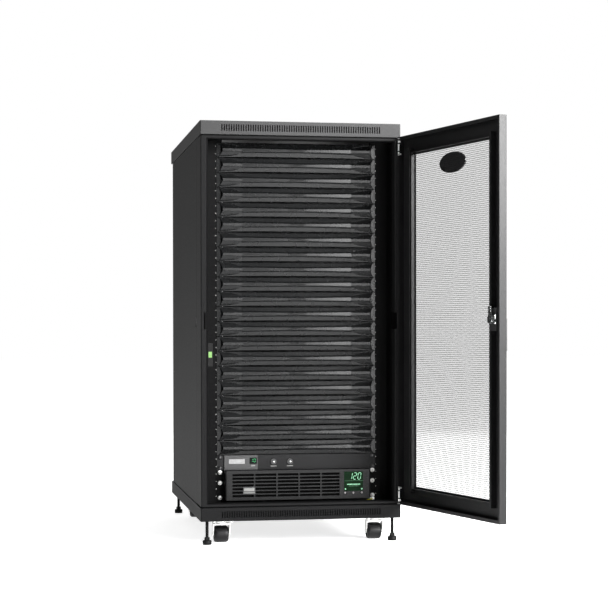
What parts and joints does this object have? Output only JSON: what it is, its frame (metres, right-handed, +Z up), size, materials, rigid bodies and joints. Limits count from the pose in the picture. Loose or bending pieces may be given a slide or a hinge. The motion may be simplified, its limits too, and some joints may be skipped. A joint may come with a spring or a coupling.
{
  "type": "network rack cabinet with rackmount ups",
  "caption": "Black floor-standing rack cabinet with an open perforated front door, contoured blanking panels, a metered power strip and a rackmount UPS in the bottom bay.",
  "frame": {"origin": "on the floor under the centre of the cabinet's 600 by 920 mm footprint", "axes": "+X to the right seen from the front, +Y from the front door to the rear doors, +Z up"},
  "size_m": [0.7684, 1.4995, 1.245],
  "materials": {
    "black_steel": "fine-texture black powder coat",
    "black_plastic": "moulded black ABS",
    "zinc": "bright zinc plate",
    "display": "dark window over a green display",
    "button_grey": "moulded buttons",
    "button_white": "white push-reset buttons",
    "tread": "hard rubber tread",
    "battery": "battery case",
    "board": "circuit board with coils and heat sinks",
    "bond": "green and yellow wire insulation",
    "sensor": "black sensor body with a green label",
    "brush": "black nylon bristle"
  },
  "bodies": {
    "cabinet": {"base_frame": "black_steel", "blanking_panels": "black_plastic", "bonding_wire": "bond", "cable_brushes": "brush", "cage_nuts": "zinc", "caster_plates": "zinc", "depth_braces": "black_steel", "door_sensor": "sensor", "front_frame": "black_steel", "front_mounting_rails": "black_steel", "pdu_display": "display", "pdu_faceplate": "black_plastic", "pdu_housing": "black_steel", "pdu_outlets": "black_plastic", "rack_screws": "zinc", "rear_frame": "black_steel", "rear_mounting_rails": "black_steel", "roof_cover": "black_steel", "side_panel_left": "black_steel", "side_panel_right": "black_steel", "ups_battery_pack": "battery", "ups_bezel": "black_plastic", "ups_chassis": "black_steel", "ups_display": "display", "ups_fan_frame": "black_plastic", "ups_outlets": "black_plastic", "ups_power_board": "board", "ups_support_rails": "black_steel", "ups_top_cover": "black_steel"},
    "front_door": {"door_frame": "black_steel", "door_mesh": "black_steel", "door_badge": "black_plastic", "latch_base": "black_plastic"},
    "hinge_pin_top": {"hinge_pin_top": "zinc"},
    "hinge_pin_bottom": {"hinge_pin_bottom": "zinc"},
    "latch": {"latch_cam": "zinc"},
    "door_handle": {"door_handle": "black_plastic"},
    "rear_door_left": {"rear_door_left": "black_steel"},
    "rear_door_right": {"rear_door_right": "black_steel"},
    "rear_handle": {"rear_handle": "black_plastic"},
    "side_latch_left": {"side_latch_left": "black_plastic"},
    "side_latch_right": {"side_latch_right": "black_plastic"},
    "pdu_breaker_left": {"pdu_breaker_left": "button_white"},
    "pdu_breaker_right": {"pdu_breaker_right": "button_white"},
    "ups_button_left": {"ups_button_left": "button_grey"},
    "ups_button_middle": {"ups_button_middle": "button_grey"},
    "ups_button_right": {"ups_button_right": "button_grey"},
    "ups_fan": {"ups_fan_rotor": "black_plastic"},
    "caster_front_left": {"caster_fork_front_left": "zinc"},
    "wheel_front_left": {"caster_wheel_front_left": "tread"},
    "foot_front_left": {"levelling_foot_front_left": "black_steel"},
    "caster_front_right": {"caster_fork_front_right": "zinc"},
    "wheel_front_right": {"caster_wheel_front_right": "tread"},
    "foot_front_right": {"levelling_foot_front_right": "black_steel"},
    "caster_rear_left": {"caster_fork_rear_left": "zinc"},
    "wheel_rear_left": {"caster_wheel_rear_left": "tread"},
    "foot_rear_left": {"levelling_foot_rear_left": "black_steel"},
    "caster_rear_right": {"caster_fork_rear_right": "zinc"},
    "wheel_rear_right": {"caster_wheel_rear_right": "tread"},
    "foot_rear_right": {"levelling_foot_rear_right": "black_steel"}
  },
  "joints": [
    {"name": "front_door_hinge", "type": "hinge", "parent": "cabinet", "child": "front_door", "pos_m": [0.293, -0.467, 0.657], "axis": [0, 0, 1], "range_deg": [-104.4, 11]},
    {"name": "hinge_pin_top_pull", "type": "slide", "parent": "front_door", "child": "hinge_pin_top", "axis": [0, 0, -1], "range_m": [0, 0.01], "stiffness_N_per_m": 300, "springref_m": -0.01},
    {"name": "hinge_pin_bottom_pull", "type": "slide", "parent": "front_door", "child": "hinge_pin_bottom", "axis": [0, 0, 1], "range_m": [0, 0.01], "stiffness_N_per_m": 300, "springref_m": -0.01},
    {"name": "latch_turn", "type": "hinge", "parent": "front_door", "child": "latch", "pos_m": [0.43268, -0.99897, 0.659], "axis": [0.9686, 0.2487, 0], "range_deg": [0, 90]},
    {"name": "handle_lift", "type": "hinge", "parent": "latch", "child": "door_handle", "pos_m": [0.45981, -0.99201, 0.659], "axis": [0.2487, -0.9686, 0], "range_deg": [0, 45]},
    {"name": "rear_door_left_hinge", "type": "hinge", "parent": "cabinet", "child": "rear_door_left", "pos_m": [-0.293, 0.415, 0.657], "axis": [0, 0, 1], "range_deg": [0, 110]},
    {"name": "rear_door_right_hinge", "type": "hinge", "parent": "cabinet", "child": "rear_door_right", "pos_m": [0.293, 0.415, 0.657], "axis": [0, 0, -1], "range_deg": [0, 110]},
    {"name": "rear_handle_turn", "type": "hinge", "parent": "rear_door_right", "child": "rear_handle", "pos_m": [0.022, 0.43, 0.659], "axis": [0, -1, 0], "range_deg": [0, 90]},
    {"name": "side_latch_left_slide", "type": "slide", "parent": "cabinet", "child": "side_latch_left", "axis": [0, 0, -1], "range_m": [0, 0.008], "stiffness_N_per_m": 300, "springref_m": -0.006},
    {"name": "side_latch_right_slide", "type": "slide", "parent": "cabinet", "child": "side_latch_right", "axis": [0, 0, -1], "range_m": [0, 0.008], "stiffness_N_per_m": 300, "springref_m": -0.006},
    {"name": "pdu_breaker_left_pop", "type": "slide", "parent": "cabinet", "child": "pdu_breaker_left", "axis": [0, -1, 0], "range_m": [0, 0.004]},
    {"name": "pdu_breaker_right_pop", "type": "slide", "parent": "cabinet", "child": "pdu_breaker_right", "axis": [0, -1, 0], "range_m": [0, 0.004]},
    {"name": "ups_button_left_press", "type": "slide", "parent": "cabinet", "child": "ups_button_left", "axis": [0, 1, 0], "range_m": [0, 0.0012], "stiffness_N_per_m": 500, "springref_m": -0.001},
    {"name": "ups_button_middle_press", "type": "slide", "parent": "cabinet", "child": "ups_button_middle", "axis": [0, 1, 0], "range_m": [0, 0.0012], "stiffness_N_per_m": 500, "springref_m": -0.001},
    {"name": "ups_button_right_press", "type": "slide", "parent": "cabinet", "child": "ups_button_right", "axis": [0, 1, 0], "range_m": [0, 0.0012], "stiffness_N_per_m": 500, "springref_m": -0.001},
    {"name": "ups_fan_spin", "type": "hinge", "parent": "cabinet", "child": "ups_fan", "pos_m": [0.15, 0.095, 0.168], "axis": [0, 1, 0], "continuous": true},
    {"name": "caster_front_left_swivel", "type": "hinge", "parent": "cabinet", "child": "caster_front_left", "pos_m": [-0.232, -0.399, 0.058], "axis": [0, 0, 1], "continuous": true},
    {"name": "wheel_front_left_roll", "type": "hinge", "parent": "caster_front_left", "child": "wheel_front_left", "pos_m": [-0.232, -0.385, 0.025], "axis": [1, 0, 0], "continuous": true},
    {"name": "caster_front_right_swivel", "type": "hinge", "parent": "cabinet", "child": "caster_front_right", "pos_m": [0.232, -0.399, 0.058], "axis": [0, 0, 1], "continuous": true},
    {"name": "wheel_front_right_roll", "type": "hinge", "parent": "caster_front_right", "child": "wheel_front_right", "pos_m": [0.232, -0.385, 0.025], "axis": [1, 0, 0], "continuous": true},
    {"name": "caster_rear_left_swivel", "type": "hinge", "parent": "cabinet", "child": "caster_rear_left", "pos_m": [-0.232, 0.314, 0.058], "axis": [0, 0, 1], "continuous": true},
    {"name": "wheel_rear_left_roll", "type": "hinge", "parent": "caster_rear_left", "child": "wheel_rear_left", "pos_m": [-0.232, 0.3, 0.025], "axis": [1, 0, 0], "continuous": true},
    {"name": "caster_rear_right_swivel", "type": "hinge", "parent": "cabinet", "child": "caster_rear_right", "pos_m": [0.232, 0.314, 0.058], "axis": [0, 0, 1], "continuous": true},
    {"name": "wheel_rear_right_roll", "type": "hinge", "parent": "caster_rear_right", "child": "wheel_rear_right", "pos_m": [0.232, 0.3, 0.025], "axis": [1, 0, 0], "continuous": true},
    {"name": "foot_front_left_screw", "type": "slide", "parent": "cabinet", "child": "foot_front_left", "axis": [0, 0, 1], "range_m": [0, 0.01]},
    {"name": "foot_front_right_screw", "type": "slide", "parent": "cabinet", "child": "foot_front_right", "axis": [0, 0, 1], "range_m": [0, 0.01]},
    {"name": "foot_rear_left_screw", "type": "slide", "parent": "cabinet", "child": "foot_rear_left", "axis": [0, 0, 1], "range_m": [0, 0.01]},
    {"name": "foot_rear_right_screw", "type": "slide", "parent": "cabinet", "child": "foot_rear_right", "axis": [0, 0, 1], "range_m": [0, 0.01]}
  ]
}
